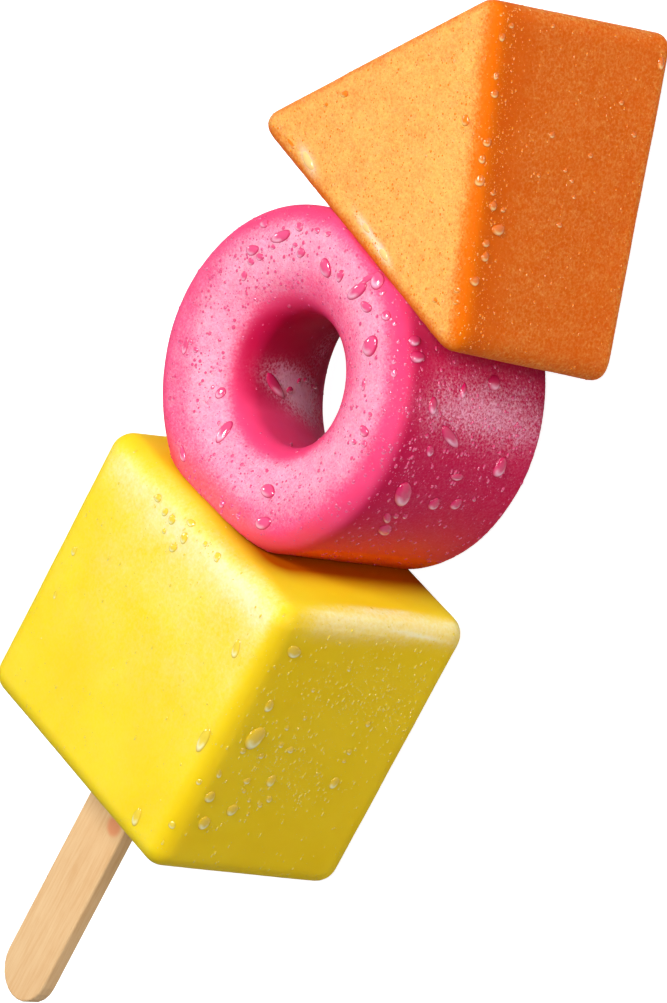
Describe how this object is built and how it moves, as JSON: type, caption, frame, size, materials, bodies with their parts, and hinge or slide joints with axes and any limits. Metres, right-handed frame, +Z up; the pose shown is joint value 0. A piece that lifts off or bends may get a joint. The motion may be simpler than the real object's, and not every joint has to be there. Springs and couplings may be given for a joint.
{
  "type": "ice lolly",
  "caption": "Ice lolly of a rounded block, a thick ring and a triangular wedge of coloured ice frozen in a row on a flat wooden stick, lying on its back.",
  "frame": {"origin": "under the middle of the bounding box, on the surface the lolly lies on", "axes": "+Y along the lolly from the stick's end to the wedge's tip, +Z up out of the front faces, +X to the right of someone who looks at the front with the wedge up"},
  "size_m": [0.0532, 0.1732, 0.0359],
  "materials": {
    "yellow_ice": "frosty lemon ice, wet and glossy along the rounded edges",
    "pink_ice": "frosty deep pink ice with a wet surface",
    "amber_ice": "finely frosted apricot ice, wet along the rounded edges",
    "pale_wood": "pale bare wood with fine lengthwise grain"
  },
  "bodies": {
    "root": {"yellow_block": "yellow_ice", "pink_ring": "pink_ice", "amber_wedge": "amber_ice", "wooden_stick": "pale_wood"}
  },
  "joints": []
}
